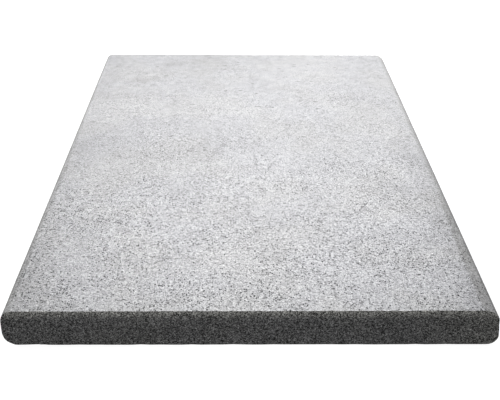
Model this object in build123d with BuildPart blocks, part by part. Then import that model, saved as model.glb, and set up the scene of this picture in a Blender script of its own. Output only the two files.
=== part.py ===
from build123d import *
import os

# Pool coping stone: one slab of natural stone, sawn at both ends and ground
# round along both long sides, so its section is the same from end to end.
# Millimetres. +X across the slab, +Y along it, +Z up.
# The origin is on the bed face, in the middle of the slab's plan.

# --- driving dimensions ----------------------------------------------------
WIDTH = 350.0  # across X, flank to flank
LENGTH = 500.0  # along Y, sawn end to sawn end
THICKNESS = 30.0  # along Z, bed face to tread face

# Each long side is ground by hand, and no two of its corners match. Every
# corner is a quarter of an ellipse: its reach across the slab, then its height.
LEFT_TOP_REACH, LEFT_TOP_HEIGHT = 7.0, 11.0
LEFT_FOOT_REACH, LEFT_FOOT_HEIGHT = 9.5, 10.5
RIGHT_TOP_REACH, RIGHT_TOP_HEIGHT = 12.0, 9.5
RIGHT_FOOT_REACH, RIGHT_FOOT_HEIGHT = 8.0, 7.0

# Each flank draws in by this much from its foot to its shoulder.
LEFT_FLANK_LEAN = 0.3
RIGHT_FLANK_LEAN = 1.8

# --- points of the section, in X and Z --------------------------------------
left = -WIDTH / 2
right = WIDTH / 2
left_shoulder = left + LEFT_FLANK_LEAN
right_shoulder = right - RIGHT_FLANK_LEAN

bed_left = (left + LEFT_FOOT_REACH, 0.0)
bed_right = (right - RIGHT_FOOT_REACH, 0.0)
flank_right_low = (right, RIGHT_FOOT_HEIGHT)
flank_right_high = (right_shoulder, THICKNESS - RIGHT_TOP_HEIGHT)
tread_right = (right_shoulder - RIGHT_TOP_REACH, THICKNESS)
tread_left = (left_shoulder + LEFT_TOP_REACH, THICKNESS)
flank_left_high = (left_shoulder, THICKNESS - LEFT_TOP_HEIGHT)
flank_left_low = (left, LEFT_FOOT_HEIGHT)

# --- the slab ----------------------------------------------------------------
with BuildPart() as coping_stone:
    with BuildSketch(Plane.XZ) as section:
        with BuildLine() as outline:
            bed = Line(bed_left, bed_right)
            foot_right = EllipticalCenterArc(
                center=(bed_right[0], flank_right_low[1]),
                x_radius=RIGHT_FOOT_REACH,
                y_radius=RIGHT_FOOT_HEIGHT,
                start_angle=270,
                arc_size=90,
            )
            flank_right = Line(flank_right_low, flank_right_high)
            shoulder_right = EllipticalCenterArc(
                center=(tread_right[0], flank_right_high[1]),
                x_radius=RIGHT_TOP_REACH,
                y_radius=RIGHT_TOP_HEIGHT,
                start_angle=0,
                arc_size=90,
            )
            tread = Line(tread_right, tread_left)
            shoulder_left = EllipticalCenterArc(
                center=(tread_left[0], flank_left_high[1]),
                x_radius=LEFT_TOP_REACH,
                y_radius=LEFT_TOP_HEIGHT,
                start_angle=90,
                arc_size=90,
            )
            flank_left = Line(flank_left_high, flank_left_low)
            foot_left = EllipticalCenterArc(
                center=(bed_left[0], flank_left_low[1]),
                x_radius=LEFT_FOOT_REACH,
                y_radius=LEFT_FOOT_HEIGHT,
                start_angle=180,
                arc_size=90,
            )
        make_face()
    # half the length each way, so that the sawn ends are at -Y and +Y
    extrude(amount=LENGTH / 2, both=True)

coping_stone.part.label = "coping_stone"

box = coping_stone.part.bounding_box()
print(
    "coping_stone",
    [round(v, 3) for v in (*box.min, *box.max)],
    round(coping_stone.part.volume / 1e6, 4),
    "litres",
)

os.makedirs("parts", exist_ok=True)
export_step(coping_stone.part, "parts/coping_stone.step")
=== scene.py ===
import math

import bpy
import numpy as np
from mathutils import Matrix, Vector


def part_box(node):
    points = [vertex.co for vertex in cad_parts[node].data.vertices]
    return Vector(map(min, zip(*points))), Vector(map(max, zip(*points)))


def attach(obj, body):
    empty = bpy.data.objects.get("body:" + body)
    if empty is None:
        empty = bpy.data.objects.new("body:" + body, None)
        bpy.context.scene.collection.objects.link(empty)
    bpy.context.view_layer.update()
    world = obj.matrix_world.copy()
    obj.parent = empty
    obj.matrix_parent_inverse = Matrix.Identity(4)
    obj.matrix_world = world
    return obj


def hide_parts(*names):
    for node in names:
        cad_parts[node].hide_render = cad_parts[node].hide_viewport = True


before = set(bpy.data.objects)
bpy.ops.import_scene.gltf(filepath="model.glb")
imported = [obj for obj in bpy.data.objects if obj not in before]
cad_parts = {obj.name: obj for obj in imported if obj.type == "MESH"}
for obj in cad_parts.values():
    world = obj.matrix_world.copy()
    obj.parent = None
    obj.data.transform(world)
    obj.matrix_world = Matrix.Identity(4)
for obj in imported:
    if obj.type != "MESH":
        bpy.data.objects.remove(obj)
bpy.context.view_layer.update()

# ---------------------------------------------------------------------------
# The slab's section, in millimetres: X across from the middle, Z up from the
# bed face. The four corners are quarter ellipses (reach across, height).
# ---------------------------------------------------------------------------
low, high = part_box("coping_stone")
WIDTH = (high.x - low.x) * 1000
LENGTH = (high.y - low.y) * 1000
THICKNESS = (high.z - low.z) * 1000
LEFT_TOP, LEFT_FOOT = (7.0, 11.0), (9.5, 10.5)
RIGHT_TOP, RIGHT_FOOT = (12.0, 9.5), (8.0, 7.0)
LEFT_LEAN, RIGHT_LEAN = 0.3, 1.8

ACROSS_NEAR = 448  # cells across each sawn end, and across the tread face close to it
ACROSS_MIDDLE = 224  # cells across the rest of the tread face
NEAR = 6.0  # how far from each sawn end the fine cells reach
BED_ACROSS = 46
TOP_CELLS, FLANK_CELLS, FOOT_CELLS = (10, 9), (7, 6), (6, 8)  # right, left
SIDE = 23  # cells down each long side, the same on both
assert sum(c[0] for c in (TOP_CELLS, FLANK_CELLS, FOOT_CELLS)) == SIDE
assert sum(c[1] for c in (TOP_CELLS, FLANK_CELLS, FOOT_CELLS)) == SIDE


def arc(centre, reach, start, cells):
    """Points of a quarter ellipse from start degrees, clockwise, without the first."""
    a = np.radians(start - 90 * np.arange(1, cells + 1) / cells)
    return np.c_[centre[0] + reach[0] * np.cos(a), centre[1] + reach[1] * np.sin(a)]


def straight(a, b, cells):
    t = (np.arange(1, cells + 1) / cells)[:, None]
    return (1 - t) * np.array(a, float) + t * np.array(b, float)


def section(across):
    """The section's outline, clockwise seen from the near end, from the left end of the tread face, which has that many cells."""
    half = WIDTH / 2
    left, right = LEFT_LEAN - half, half - RIGHT_LEAN
    tread_l = (left + LEFT_TOP[0], THICKNESS)
    tread_r = (right - RIGHT_TOP[0], THICKNESS)
    parts = [
        np.array([tread_l], float),
        straight(tread_l, tread_r, across),
        arc((tread_r[0], THICKNESS - RIGHT_TOP[1]), RIGHT_TOP, 90, TOP_CELLS[0]),
        straight((right, THICKNESS - RIGHT_TOP[1]), (half, RIGHT_FOOT[1]), FLANK_CELLS[0]),
        arc((half - RIGHT_FOOT[0], RIGHT_FOOT[1]), RIGHT_FOOT, 0, FOOT_CELLS[0]),
        straight((half - RIGHT_FOOT[0], 0), (-half + LEFT_FOOT[0], 0), BED_ACROSS),
        arc((-half + LEFT_FOOT[0], LEFT_FOOT[1]), LEFT_FOOT, 270, FOOT_CELLS[1]),
        straight((-half, LEFT_FOOT[1]), (left, THICKNESS - LEFT_TOP[1]), FLANK_CELLS[1]),
        arc((tread_l[0], THICKNESS - LEFT_TOP[1]), LEFT_TOP, 180, TOP_CELLS[1])[:-1],
    ]
    return np.concatenate(parts)


def rows_along():
    """Y of each row, close together near the sawn ends, where the arrises are."""
    steps = [0.35]
    while steps[-1] < 2.55:
        steps.append(min(2.55, steps[-1] * 1.17))
    near = np.concatenate([[0], np.cumsum(steps)])
    rest = LENGTH / 2 - near[-1]
    count = int(math.ceil(rest / 2.75))
    half = np.concatenate([near, near[-1] + rest * np.arange(1, count + 1) / count])
    return np.concatenate([-LENGTH / 2 + half, (LENGTH / 2 - half[:-1])[::-1]])


# ---------------------------------------------------------------------------
# Noise for the relief, the same on every run
# ---------------------------------------------------------------------------
def hashed(i, j, k, seed):
    """Numbers from 0 to 1 that look random, one for each lattice point."""
    m = np.uint64(0xFFFFFFFF)
    h = (
        i.astype(np.int64).astype(np.uint64) * np.uint64(0x8DA6B343)
        + j.astype(np.int64).astype(np.uint64) * np.uint64(0xD8163841)
        + k.astype(np.int64).astype(np.uint64) * np.uint64(0xCB1AB31F)
        + np.uint64(seed * 0x9E3779B1 & 0xFFFFFFFF)
    ) & m
    for shift, factor in ((16, 0x7FEB352D), (15, 0x846CA68B), (16, 0x9E3779B1)):
        h = ((h ^ (h >> np.uint64(shift))) * np.uint64(factor)) & m
    return (h ^ (h >> np.uint64(15))).astype(float) / 4294967295.0


def noise(p, size, seed):
    """Smooth value noise, about -1 to 1, whose features are size millimetres apart."""
    q = p / size
    base = np.floor(q)
    f = q - base
    w = f * f * f * (f * (f * 6 - 15) + 10)
    i, j, k = base.T
    total = np.zeros(len(p))
    for a in (0, 1):
        for b in (0, 1):
            for c in (0, 1):
                weight = (
                    (w[:, 0] if a else 1 - w[:, 0])
                    * (w[:, 1] if b else 1 - w[:, 1])
                    * (w[:, 2] if c else 1 - w[:, 2])
                )
                total += weight * hashed(i + a, j + b, k + c, seed)
    return total * 2 - 1


def cells(p, size, seed):
    """Distance to the nearest of scattered points, in cells, and that point's own random number."""
    q = p / size
    base = np.floor(q)
    best = np.full(len(p), 9.0)
    own = np.zeros(len(p))
    for a in (-1, 0, 1):
        for b in (-1, 0, 1):
            for c in (-1, 0, 1):
                i, j, k = (base + (a, b, c)).T
                x = i + hashed(i, j, k, seed)
                y = j + hashed(i, j, k, seed + 1)
                z = k + hashed(i, j, k, seed + 2)
                d = np.sqrt((x - q[:, 0]) ** 2 + (y - q[:, 1]) ** 2 + (z - q[:, 2]) ** 2)
                nearer = d < best
                best = np.where(nearer, d, best)
                own = np.where(nearer, hashed(i, j, k, seed + 3), own)
    return best, own


def smooth(x, a, b):
    t = np.clip((x - a) / (b - a), 0, 1)
    return t * t * (3 - 2 * t)


# ---------------------------------------------------------------------------
# The mesh: the section swept along Y, with a grid in each sawn end
# ---------------------------------------------------------------------------
def outward(outline):
    """The outline's own normal at each point, in X and Z."""
    d = np.roll(outline, -1, 0) - np.roll(outline, 1, 0)
    normal = np.c_[-d[:, 1], d[:, 0]]
    return normal / np.linalg.norm(normal, axis=1)[:, None]


def zipped(upper, lower):
    """Triangles between two lines of points that run the same way and have different counts."""
    i = j = 0
    found = []
    while i < len(upper) - 1 or j < len(lower) - 1:
        if j == len(lower) - 1 or (
            i < len(upper) - 1
            and (i + 1) / (len(upper) - 1) <= (j + 1) / (len(lower) - 1)
        ):
            found.append((upper[i], upper[i + 1], lower[j]))
            i += 1
        else:
            found.append((upper[i], lower[j + 1], lower[j]))
            j += 1
    return np.array(found)


def slab_mesh():
    """Points (mm), four-sided and three-sided faces, and for each point its outward normal on the swept side and which sawn end it is on."""
    ys = rows_along()
    loops, all_points, all_normals, all_end = [], [], [], []
    count = 0
    for y in ys:
        across = ACROSS_NEAR if LENGTH / 2 - abs(y) < NEAR else ACROSS_MIDDLE
        outline = section(across)
        normal = outward(outline)
        m = len(outline)
        all_points.append(np.c_[outline[:, 0], np.full(m, y), outline[:, 1]])
        all_normals.append(np.c_[normal[:, 0], np.zeros(m), normal[:, 1]])
        which = -1.0 if y == ys[0] else 1.0 if y == ys[-1] else 0.0
        all_end.append(np.full(m, which))
        index = count + np.arange(m)
        loops.append((index[: across + 1], np.r_[index[across:], index[:1]]))
        count += m
    quads, triangles = [], []
    for (tread_a, rest_a), (tread_b, rest_b) in zip(loops[:-1], loops[1:]):
        quads.append(np.stack([rest_a[:-1], rest_b[:-1], rest_b[1:], rest_a[1:]], -1))
        if len(tread_a) == len(tread_b):
            quads.append(
                np.stack([tread_a[:-1], tread_b[:-1], tread_b[1:], tread_a[1:]], -1)
            )
        else:
            triangles.append(zipped(tread_b, tread_a))
    outline = section(ACROSS_NEAR)
    n = len(outline)
    right = [ACROSS_NEAR + s for s in range(SIDE + 1)]  # down the right side
    left = [(n - s) % n for s in range(SIDE + 1)]  # down the left side
    t = np.arange(1, ACROSS_NEAR) / ACROSS_NEAR
    for (tread, rest), y, sign in ((loops[0], ys[0], -1), (loops[-1], ys[-1], 1)):
        ring = np.r_[tread, rest[1:-1]]
        grid = np.zeros((SIDE, ACROSS_NEAR + 1), int)
        grid[0] = tread
        for s in range(1, SIDE):
            l, r = outline[left[s]], outline[right[s]]
            x = l[0] + (r[0] - l[0]) * t
            z = l[1] + (r[1] - l[1]) * t
            all_points.append(np.c_[x, np.full(len(t), y), z])
            all_normals.append(np.zeros((len(t), 3)))
            all_end.append(np.full(len(t), float(sign)))
            grid[s, 0] = ring[left[s]]
            grid[s, -1] = ring[right[s]]
            grid[s, 1:-1] = count + np.arange(len(t))
            count += len(t)
        cap = np.stack(
            [grid[:-1, :-1], grid[:-1, 1:], grid[1:, 1:], grid[1:, :-1]], -1
        ).reshape(-1, 4)
        quads.append(cap if sign < 0 else cap[:, ::-1])
        # the last row of the grid meets the bed's edge, which has fewer points
        bed = ring[ACROSS_NEAR + SIDE : ACROSS_NEAR + SIDE + BED_ACROSS + 1][::-1]
        strip = zipped(grid[-1], bed)
        triangles.append(strip if sign < 0 else strip[:, ::-1])
    return (
        np.concatenate(all_points),
        np.concatenate(quads),
        np.concatenate(triangles),
        np.concatenate(all_normals),
        np.concatenate(all_end),
    )


def relief(p, side_normal, end):
    """The same points with the stone's real surface: a flamed tread face, ground long edges, sawn ends and chipped arrises."""
    up = side_normal[:, 2]
    on_side = np.abs(side_normal).sum(1) > 0.5
    # 1 on the flamed tread face, falling to 0 round the shoulders
    flamed = smooth(up, 0.80, 0.995) * on_side
    bed = smooth(-up, 0.5, 0.95) * on_side
    ground = on_side * (1 - flamed) * (1 - bed)

    # flamed face: shallow scales a few millimetres across, over slow waves
    scale_d, scale_own = cells(p * (1, 1, 0.3), 6.5, 11)
    flakes = (scale_own - 0.5) * smooth(scale_d, 0.62, 0.30)
    waves = 0.08 * noise(p, 55, 3) + 0.03 * noise(p, 21, 5)
    fine = 0.04 * noise(p, 4.2, 7) + 0.08 * noise(p, 2.6, 8)
    pit_d, pit_own = cells(p * (1, 1, 0.3), 5.0, 23)
    pits = smooth(pit_d, 0.42, 0.12) * smooth(pit_own, 0.55, 0.9)
    # the slab is a hair thicker than nominal, more so to the right
    thick = 0.13 * smooth(p[:, 0], -140, -60) + 0.07 * smooth(p[:, 0], 60, 170)
    top = waves + fine + 0.07 * flakes - 0.22 * pits + 0.08 + thick

    # ground long edges: smoother, a little wavy along their length
    edge = 0.07 * noise(p * (1, 0.35, 1), 14, 31) + 0.05 * noise(p, 3.2, 33)
    hole_d, hole_own = cells(p, 6.0, 41)
    edge = edge - 0.25 * smooth(hole_d, 0.3, 0.1) * smooth(hole_own, 0.7, 0.95) - 0.05

    under = 0.05 * noise(p, 18, 51) + 0.14 + thick + 0.12 * smooth(p[:, 0], -20, 120)

    along = flamed * top + ground * edge + bed * under
    out = p + side_normal * along[:, None]

    # sawn ends: nearly flat, rough grained, with open pits
    saw = 0.05 * noise(p, 30, 61) + 0.08 * noise(p, 2.4, 63)
    open_d, open_own = cells(p, 4.0, 71)
    saw = saw - 0.35 * smooth(open_d, 0.42, 0.12) * smooth(open_own, 0.6, 0.9) - 0.03
    out[:, 1] += end * saw * (end != 0)

    # chips along each arris of the sawn ends
    from_end = LENGTH / 2 - np.abs(p[:, 1])
    line = np.c_[p[:, 0], np.sign(p[:, 1]) * 40 + (p[:, 2] > THICKNESS / 2) * 17, p[:, 2] * 0.15]
    nibble = 0.16 * noise(line, 1.5, 87) + 0.15 * noise(line, 3.3, 88)
    nibble += smooth(noise(line, 4.6, 81), 0.30, 0.9) * 0.40
    nibble += smooth(noise(line, 11.0, 83), 0.45, 0.95) * 0.45
    big_d, big_own = cells(line * (1, 0.02, 0.02), 34.0, 85)
    nibble += smooth(big_d, 0.07, 0.0) * smooth(big_own, 0.45, 0.8) * 1.0
    # fewer along the bed's arris, and fewer towards the right
    nibble = np.clip(nibble, 0, None) * np.where(p[:, 2] > THICKNESS / 2, 1.0, 0.6)
    nibble = nibble * (1.15 - 0.45 * smooth(p[:, 0], -150, -20))
    reach = 0.5 + nibble * 1.5
    # the tread, bed and long sides fall away towards the end, and the end towards them
    near_side = on_side * np.clip(1 - from_end / reach, 0, 1)
    out -= side_normal * (nibble * near_side**1.3 * 0.8)[:, None]
    rim = np.where(on_side, 0, np.minimum(THICKNESS - p[:, 2], p[:, 2]))
    near_end = (end != 0) * np.clip(1 - rim / reach, 0, 1)
    out[:, 1] -= end * nibble * near_end**1.3 * 0.75
    return out


points, quads, triangles, side_normal, end = slab_mesh()
shaped = relief(points, side_normal, end) / 1000

mesh = bpy.data.meshes.new("coping_stone_surface")
vertex_count = len(shaped)
face_sizes = np.concatenate([np.full(len(quads), 4), np.full(len(triangles), 3)])
corners = np.concatenate([quads.ravel(), triangles.ravel()])
mesh.vertices.add(vertex_count)
mesh.vertices.foreach_set("co", shaped.astype(np.float32).ravel())
mesh.loops.add(len(corners))
mesh.loops.foreach_set("vertex_index", corners.astype(np.int32))
mesh.polygons.add(len(face_sizes))
starts = np.concatenate([[0], np.cumsum(face_sizes)[:-1]])
mesh.polygons.foreach_set("loop_start", starts.astype(np.int32))
mesh.polygons.foreach_set("loop_total", face_sizes.astype(np.int32))
mesh.polygons.foreach_set("use_smooth", np.ones(len(face_sizes), bool))
mesh.update(calc_edges=True)
mesh.validate(verbose=True)

# the arrises round the sawn ends stay crisp
edge_ends = np.zeros(len(mesh.edges) * 2, np.int32)
mesh.edges.foreach_get("vertices", edge_ends)
edge_ends = edge_ends.reshape(-1, 2)
on_rim = (end != 0) & (np.abs(side_normal).sum(1) > 0.5)
sharp = on_rim[edge_ends[:, 0]] & on_rim[edge_ends[:, 1]]
mesh.attributes.new("sharp_edge", "BOOLEAN", "EDGE").data.foreach_set("value", sharp)

stone = bpy.data.objects.new("coping_stone_body", mesh)
bpy.context.scene.collection.objects.link(stone)


# ---------------------------------------------------------------------------
# The stone's finish
# ---------------------------------------------------------------------------
class Nodes:
    """Short names for building a node tree."""

    def __init__(self, tree):
        self.tree = tree

    def add(self, kind, **settings):
        node = self.tree.nodes.new(kind)
        for name, value in settings.items():
            setattr(node, name, value)
        return node

    def put(self, socket, value):
        if isinstance(value, bpy.types.NodeSocket):
            self.tree.links.new(value, socket)
        else:
            socket.default_value = value

    def math(self, operation, a, b=None, c=None, clamp=False):
        node = self.add("ShaderNodeMath", operation=operation, use_clamp=clamp)
        for socket, value in zip(node.inputs, (a, b, c)):
            if value is not None:
                self.put(socket, value)
        return node.outputs[0]

    def ramp(self, value, a, b, to_a=0.0, to_b=1.0, soft=True):
        node = self.add(
            "ShaderNodeMapRange",
            interpolation_type="SMOOTHSTEP" if soft else "LINEAR",
            clamp=True,
        )
        for name, v in (
            ("Value", value),
            ("From Min", a),
            ("From Max", b),
            ("To Min", to_a),
            ("To Max", to_b),
        ):
            self.put(node.inputs[name], v)
        return node.outputs[0]

    def mix(self, factor, a, b):
        node = self.add("ShaderNodeMix", data_type="RGBA", blend_type="MIX")
        self.put(node.inputs[0], factor)
        self.put(node.inputs[6], a)
        self.put(node.inputs[7], b)
        return node.outputs[2]

    def times(self, colour, value):
        node = self.add("ShaderNodeVectorMath", operation="SCALE")
        self.put(node.inputs[0], colour)
        self.put(node.inputs["Scale"], value)
        return node.outputs[0]

    def noise(self, where, scale, detail=2.0, rough=0.5):
        node = self.add("ShaderNodeTexNoise", noise_dimensions="3D")
        self.put(node.inputs["Vector"], where)
        node.inputs["Scale"].default_value = scale
        node.inputs["Detail"].default_value = detail
        node.inputs["Roughness"].default_value = rough
        return node.outputs[0]

    def cells(self, where, scale, feature="F1"):
        node = self.add("ShaderNodeTexVoronoi", feature=feature, voronoi_dimensions="3D")
        self.put(node.inputs["Vector"], where)
        node.inputs["Scale"].default_value = scale
        return node

    def moved(self, where, by, scale=(1, 1, 1)):
        node = self.add("ShaderNodeMapping")
        self.put(node.inputs["Vector"], where)
        node.inputs["Location"].default_value = by
        node.inputs["Scale"].default_value = scale
        return node.outputs[0]


def stone_material():
    material = bpy.data.materials.new("grey_stone")
    material.use_nodes = True
    tree = material.node_tree
    tree.nodes.clear()
    n = Nodes(tree)
    out = n.add("ShaderNodeOutputMaterial")
    shader = n.add("ShaderNodeBsdfPrincipled")
    tree.links.new(shader.outputs[0], out.inputs["Surface"])
    where = n.add("ShaderNodeTexCoord").outputs["Object"]
    split = n.add("ShaderNodeSeparateXYZ")
    n.put(split.inputs[0], where)
    x, y, z = split.outputs
    geometry = n.add("ShaderNodeNewGeometry")
    facing = n.add("ShaderNodeSeparateXYZ")
    n.put(facing.inputs[0], geometry.outputs["Normal"])
    nx, ny, nz = facing.outputs

    # --- which face a point is on --------------------------------------
    wobble = n.math("MULTIPLY", n.math("SUBTRACT", n.noise(where, 120, 3), 0.5), 0.004)
    wobble_y = n.math("MULTIPLY", n.math("SUBTRACT", n.noise(where, 500, 2), 0.5), 0.0022)
    # the chips along the arris show the same dark stone as the sawn end
    sawn = n.ramp(n.math("ABSOLUTE", ny), 0.30, 0.50)
    across = n.math("ADD", x, wobble)
    fray = n.math("MULTIPLY", n.math("SUBTRACT", n.noise(where, 650, 2), 0.5), 0.0050)
    # the right grinding is wider by the near end
    inset = n.ramp(y, -LENGTH / 2000 + 0.070, -LENGTH / 2000 + 0.185, 0.0142, 0.0092)
    from_right = n.math("SUBTRACT", n.math("SUBTRACT", WIDTH / 2000, across), inset)
    # the left one is narrower, most of all by the far end
    from_left = n.math("ADD", n.math("ADD", across, fray), n.ramp(y, -0.10, 0.24, WIDTH / 2000 - 0.0074, WIDTH / 2000 - 0.0048))
    tread = n.math(
        "MULTIPLY",
        n.ramp(n.math("ADD", from_right, fray), -0.0012, 0.0012),
        n.ramp(from_left, -0.0014, 0.0014),
    )
    tread = n.math("MULTIPLY", tread, n.ramp(nz, 0.2, 0.6))
    tread = n.math("MULTIPLY", tread, n.math("SUBTRACT", 1.0, sawn))
    bed = n.ramp(nz, -0.75, -0.95)

    # --- grain ----------------------------------------------------------
    # a little warp keeps the crystals and pits from looking like round dots
    warp = n.add("ShaderNodeTexNoise", noise_dimensions="3D")
    n.put(warp.inputs["Vector"], where)
    warp.inputs["Scale"].default_value = 800
    warp.inputs["Detail"].default_value = 1.0
    shift = n.add("ShaderNodeVectorMath", operation="MULTIPLY_ADD")
    n.put(shift.inputs[0], warp.outputs["Color"])
    shift.inputs[1].default_value = (0.0011, 0.0011, 0.0011)
    n.put(shift.inputs[2], where)
    warped = shift.outputs[0]
    grain = n.noise(where, 1150, 2.0, 0.6)
    coarse = n.noise(where, 520, 3.0, 0.6)

    def scattered(place, scale, offset):
        """Distance from each of many scattered points, and two random numbers of its own."""
        node = n.cells(n.moved(place, offset), scale)
        pick = n.add("ShaderNodeSeparateColor")
        n.put(pick.inputs[0], node.outputs["Color"])
        return node.outputs["Distance"], pick.outputs[0], pick.outputs[1]

    _, own, _ = scattered(warped, 1250, (0, 0, 0))
    _, own_sawn, _ = scattered(warped, 1750, (0.05, 0.13, 0.09))
    # the pits crowd together in some places and thin out in others
    crowd = n.math("MULTIPLY", n.math("SUBTRACT", n.noise(n.moved(where, (0.4, 0.9, 0.1)), 32, 2.0), 0.5), 0.7)
    pit_d, pit_a, _ = scattered(warped, 730, (0.31, 0.17, 0.05))
    pits = n.math("MULTIPLY", n.ramp(pit_d, 0.55, 0.30), n.ramp(n.math("ADD", pit_a, crowd), 0.67, 0.90))
    # fine open joints curl between the grains, broken up into short lengths
    joint = n.math("ABSOLUTE", n.math("SUBTRACT", n.noise(n.moved(warped, (0.7, 0.2, 0.4), (0.85, 1.15, 1)), 680, 1.0), 0.5))
    broken = n.ramp(n.math("ADD", n.noise(n.moved(where, (0.2, 0.6, 0.8)), 420, 1.0), n.math("MULTIPLY", crowd, 0.25)), 0.50, 0.58)
    joint = n.math("MULTIPLY", n.ramp(joint, 0.036, 0.010), broken)
    pits = n.math("MAXIMUM", pits, n.math("MULTIPLY", joint, 0.62))
    # open pits in the sawn ends, drawn only as painted shade in their colour
    hole_d, hole_a, _ = scattered(warped, 1000, (0.21, 0.37, 0.15))
    hole_shade = n.math("MULTIPLY", n.ramp(hole_d, 0.55, 0.30), n.ramp(hole_a, 0.56, 0.76))
    scar_d, scar_a, _ = scattered(n.moved(warped, (0, 0, 0), (0.55, 1.15, 1)), 110, (0.43, 0.29, 0.33))
    ragged = n.math("MULTIPLY", n.math("SUBTRACT", coarse, 0.5), 0.45)
    scars = n.math("MULTIPLY", n.ramp(n.math("ADD", scar_d, ragged), 0.19, 0.11), n.ramp(scar_a, 0.40, 0.80))
    # pale crystal specks, lighter in colour and smoother; their extra lightness is partly painted glint
    spot_d, spot_a, _ = scattered(warped, 900, (0.11, 0.07, 0.27))
    specks = n.math("MULTIPLY", n.ramp(spot_d, 0.50, 0.30), n.ramp(spot_a, 0.90, 0.97))

    # --- colour ----------------------------------------------------------
    patch_b = n.noise(n.moved(where, (1.7, 0.4, 0.9)), 15, 3.0, 0.55)
    mottle = n.noise(where, 48, 4.0, 0.6)

    # slow changes of tint: bluest by the near right corner
    blue = n.math("MULTIPLY", n.ramp(x, 0.02, 0.14), n.ramp(y, -0.08, -0.20))
    blue = n.math("SUBTRACT", n.ramp(patch_b, 0.40, 0.66), n.math("MULTIPLY", blue, 0.40))
    light = n.mix(n.math("ADD", blue, 0.3), (0.3515, 0.3535, 0.3648, 1), (0.3530, 0.3533, 0.3572, 1))
    light = n.times(light, n.ramp(mottle, 0.25, 0.75, 0.965, 1.025, False))
    edge_grey = n.mix(n.ramp(patch_b, 0.40, 0.66), (0.256, 0.256, 0.258, 1), (0.258, 0.257, 0.256, 1))
    edge_grey = n.times(edge_grey, n.ramp(mottle, 0.25, 0.75, 0.93, 1.07, False))
    # painted shade: darkest where the grinding rolls over into the flank and turns away from the light above
    edge_grey = n.times(edge_grey, n.ramp(nz, 0.68, 0.86, 0.77, 1.19))
    edge_grey = n.times(edge_grey, n.ramp(nz, 0.92, 0.99, 1.0, 0.85))
    edge_grey = n.times(edge_grey, n.ramp(x, -0.05, 0.05, 0.92, 1.0))
    dark = n.mix(n.ramp(patch_b, 0.42, 0.62), (0.139, 0.139, 0.140, 1), (0.142, 0.142, 0.140, 1))
    dark = n.times(dark, n.ramp(mottle, 0.25, 0.75, 0.93, 1.07, False))
    dark = n.times(dark, n.ramp(x, 0.04, 0.11, 0.98, 0.935))
    # weathered a little lighter by the right end
    dark = n.mix(n.ramp(x, 0.125, 0.172, 0.0, 0.9), dark, (0.158, 0.158, 0.151, 1))
    # the top few millimetres of each sawn end are lighter and warmer: a warm tint of the stone's own, with a painted
    # highlight where the arris catches the light from above
    warm_lit_top = n.ramp(n.math("ADD", z, wobble_y), THICKNESS / 1000 - 0.0085, THICKNESS / 1000 + 0.0010)
    dark = n.mix(warm_lit_top, dark, (0.326, 0.325, 0.307, 1))
    # and painted shade: a thin darker line along its foot, standing in for the contact shadow
    dark = n.times(dark, n.ramp(n.math("ADD", z, wobble_y), 0.0, 0.0013, 0.78, 1.0))

    def grained(colour, low, high, hollow, hollow_shade, speck_light, crystal, crystal_low, crystal_high):
        value = n.ramp(grain, 0.30, 0.70, low, high, False)
        value = n.math("MULTIPLY", value, n.ramp(crystal, 0.0, 1.0, crystal_low, crystal_high, False))
        # painted shade: the hollows (pits, open joints, holes) are darkened in colour for the shadow inside them
        value = n.math("MULTIPLY", value, n.math("SUBTRACT", 1.0, n.math("MULTIPLY", hollow, hollow_shade)))
        # pale specks made lighter, partly a painted glint
        value = n.math("MULTIPLY", value, n.math("ADD", 1.0, n.math("MULTIPLY", specks, speck_light)))
        return n.times(colour, value)

    plain = light
    light = grained(light, 0.69, 1.31, pits, 0.94, 0.35, own, 0.69, 1.31)
    # towards the far end the flamed face is worn smoother
    worn = n.ramp(y, -LENGTH / 2000, LENGTH / 2000, -0.02, 0.86, False)
    # and roughest in the two near corners
    rough_corner = n.math("MULTIPLY", n.ramp(n.math("ABSOLUTE", x), 0.05, 0.13), n.ramp(y, -0.02, -0.16))
    worn = n.math("SUBTRACT", worn, n.math("MULTIPLY", rough_corner, 0.14))
    patchy = n.math("MULTIPLY", n.math("SUBTRACT", n.noise(n.moved(where, (0.3, 0.8, 0.6)), 17, 3.0), 0.5), 0.9)
    worn = n.math("ADD", worn, patchy, clamp=True)
    cloudy = n.ramp(n.noise(n.moved(where, (0.9, 0.5, 0.2)), 125, 3.0, 0.6), 0.30, 0.70, 0.80, 0.99, False)
    light = n.mix(worn, light, n.times(plain, cloudy))
    # a few larger scars, a few millimetres across
    light = n.times(light, n.math("SUBTRACT", 1.0, n.math("MULTIPLY", scars, 0.34)))
    edge_plain = edge_grey
    edge_grey = grained(edge_grey, 0.72, 1.28, pits, 0.90, 0.35, own, 0.72, 1.28)
    edge_grey = n.mix(worn, edge_grey, n.times(edge_plain, 0.89))
    dark = grained(dark, 0.50, 1.50, hole_shade, 0.94, 0.60, n.math("POWER", own_sawn, 1.5), 0.12, 2.42)

    colour = n.mix(tread, edge_grey, light)
    # the left margin is a little darker, most of all by the near end
    margin = n.ramp(n.math("ADD", x, wobble), -0.138, -0.166)
    dull = n.math("MULTIPLY", margin, n.ramp(y, -0.13, -0.205, 0.04, 0.13))
    # and so is the right one along its near half
    margin = n.ramp(n.math("ADD", x, wobble), 0.138, 0.160)
    dull = n.math("ADD", dull, n.math("MULTIPLY", margin, n.ramp(y, 0.06, -0.16, 0.02, 0.11)))
    # a dull streak across the left half, with a paler one behind it
    for middle, reach, amount in ((-0.006, 0.026, 0.055), (0.093, 0.047, -0.044)):
        streak = n.math("ADD", n.math("SUBTRACT", y, middle), n.math("MULTIPLY", n.math("SUBTRACT", patch_b, 0.5), 0.060))
        streak = n.ramp(n.math("ABSOLUTE", streak), reach, reach * 0.2, 0.0, amount)
        dull = n.math("ADD", dull, n.math("MULTIPLY", streak, n.ramp(x, 0.050, -0.030)))
    colour = n.times(colour, n.math("SUBTRACT", 1.0, dull))
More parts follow.
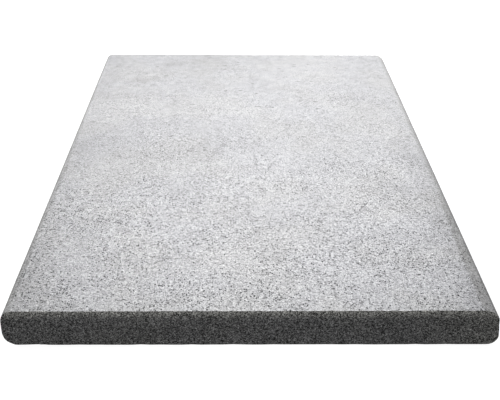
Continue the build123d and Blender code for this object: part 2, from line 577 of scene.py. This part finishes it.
    # three faint smudges by the far end and a paler place beside them
    for spot, reach, amount, shade in (
        ((-0.092, 0.213, 0.030), 0.021, 0.13, (0.120, 0.116, 0.100, 1)),
        ((-0.118, 0.167, 0.030), 0.017, 0.13, (0.120, 0.116, 0.100, 1)),
        ((-0.047, 0.230, 0.030), 0.058, 0.11, (0.120, 0.116, 0.100, 1)),
        ((0.068, 0.200, 0.030), 0.082, 0.25, (0.400, 0.400, 0.402, 1)),
    ):
        away = n.add("ShaderNodeVectorMath", operation="DISTANCE")
        n.put(away.inputs[0], where)
        away.inputs[1].default_value = spot
        away = n.math("ADD", away.outputs["Value"], n.math("MULTIPLY", n.math("SUBTRACT", mottle, 0.5), 0.020))
        colour = n.mix(n.ramp(away, reach, 0.003, 0.0, amount), colour, shade)
    colour = n.mix(sawn, colour, dark)
    colour = n.mix(bed, colour, n.times(edge_grey, 0.95))
    n.put(shader.inputs["Base Color"], colour)

    rough = n.ramp(own, 0.0, 1.0, 0.78, 0.96, False)
    rough = n.math("SUBTRACT", rough, n.math("MULTIPLY", specks, 0.25))
    n.put(shader.inputs["Roughness"], rough)
    shader.inputs["Specular IOR Level"].default_value = 0.08

    # --- fine relief, in metres -----------------------------------------
    height = n.math("MULTIPLY", n.math("SUBTRACT", coarse, 0.5), 0.00016)
    height = n.math("ADD", height, n.math("MULTIPLY", n.math("SUBTRACT", grain, 0.5), 0.00030))
    height = n.math("SUBTRACT", height, n.math("MULTIPLY", pits, 0.00030))
    amount = n.mix(tread, (0.70, 0.70, 0.70, 1), (1.0, 1.0, 1.0, 1))
    amount = n.mix(sawn, amount, (0.8, 0.8, 0.8, 1))
    bump = n.add("ShaderNodeBump")
    bump.inputs["Strength"].default_value = 1.0
    bump.inputs["Distance"].default_value = 1.0
    n.put(bump.inputs["Height"], n.math("MULTIPLY", height, amount))
    n.put(shader.inputs["Normal"], bump.outputs[0])
    return material


mesh.materials.append(stone_material())

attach(stone, "root")
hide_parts("coping_stone")

# ---------------------------------------------------------------------------
# Floor, light and camera
# ---------------------------------------------------------------------------
floor_mesh = bpy.data.meshes.new("floor")
side = 6.0
floor_mesh.from_pydata(
    [(-side, -side, 0), (side, -side, 0), (side, side, 0), (-side, side, 0)],
    [],
    [(0, 1, 2, 3)],
)
floor = bpy.data.objects.new("floor", floor_mesh)
floor.location.z = -0.0006
bpy.context.scene.collection.objects.link(floor)
floor_material = bpy.data.materials.new("pale_floor")
floor_material.use_nodes = True
floor_shader = floor_material.node_tree.nodes["Principled BSDF"]
floor_shader.inputs["Base Color"].default_value = (0.2, 0.2, 0.2, 1)
floor_shader.inputs["Roughness"].default_value = 0.9
floor_shader.inputs["Specular IOR Level"].default_value = 0.1
# lit from within, as a white light table is, so that no shadow greys it
floor_shader.inputs["Emission Color"].default_value = (1, 1, 1, 1)
floor_shader.inputs["Emission Strength"].default_value = 0.90
floor_mesh.materials.append(floor_material)
# it sends no light back up, as the photo's own backdrop didn't
floor.visible_diffuse = False
floor.visible_glossy = False


def softbox(name, place, lean, size, watts):
    """A rectangular lamp that faces down and leans by those degrees about X and Y."""
    data = bpy.data.lights.new(name, "AREA")
    data.shape = "RECTANGLE"
    data.size, data.size_y = size
    data.energy = watts
    lamp = bpy.data.objects.new(name, data)
    lamp.location = place
    lamp.rotation_euler = (math.radians(lean[0]), math.radians(lean[1]), 0)
    lamp.visible_camera = False
    bpy.context.scene.collection.objects.link(lamp)


# a long strip close over the slab, a panel on each side by its far half, which
# leaves the near corners darker, and a panel in front for the near sawn end
softbox("strip", (0.014, 0.212, 0.280), (11.5, 0), (0.243, 1.031), 1.70)
softbox("panel_right", (0.420, 0.331, 0.289), (0, 55.4), (0.6, 0.8), 5.9)
softbox("panel_left", (-0.585, 0.247, 0.292), (0, -63.5), (0.6, 0.8), 8.9)
softbox("panel_front", (0, -1.2, 0.75), (58, 0), (0.8, 0.8), 8.5)

world = bpy.data.worlds.new("studio")
world.use_nodes = True
world.node_tree.nodes["Background"].inputs["Color"].default_value = (1, 1, 1, 1)
world.node_tree.nodes["Background"].inputs["Strength"].default_value = 1.0
bpy.context.scene.world = world
# a white backdrop that gives no light of its own
world.cycles_visibility.diffuse = False
world.cycles_visibility.glossy = False

YAW, PITCH, ROLL = (math.radians(v) for v in (1.0307, 31.1098, -0.5597))
right = Vector((math.cos(YAW), -math.sin(YAW), 0))
ahead = Vector(
    (math.sin(YAW) * math.cos(PITCH), math.cos(YAW) * math.cos(PITCH), -math.sin(PITCH))
)
down = ahead.cross(right)
right, down = (
    math.cos(ROLL) * right + math.sin(ROLL) * down,
    -math.sin(ROLL) * right + math.cos(ROLL) * down,
)
camera_data = bpy.data.cameras.new("camera")
camera_data.sensor_fit = "HORIZONTAL"
camera_data.sensor_width = 36
camera_data.lens = 759.67 / 500 * 36
camera_data.clip_start = 0.01
camera = bpy.data.objects.new("camera", camera_data)
turn = Matrix((right, -down, -ahead)).transposed()
camera.matrix_world = Matrix.Translation((-0.009701, -0.658727, 0.366348)) @ turn.to_4x4()
bpy.context.scene.collection.objects.link(camera)
bpy.context.scene.camera = camera

bpy.context.scene.view_settings.view_transform = "Standard"
bpy.context.scene.view_settings.look = "None"
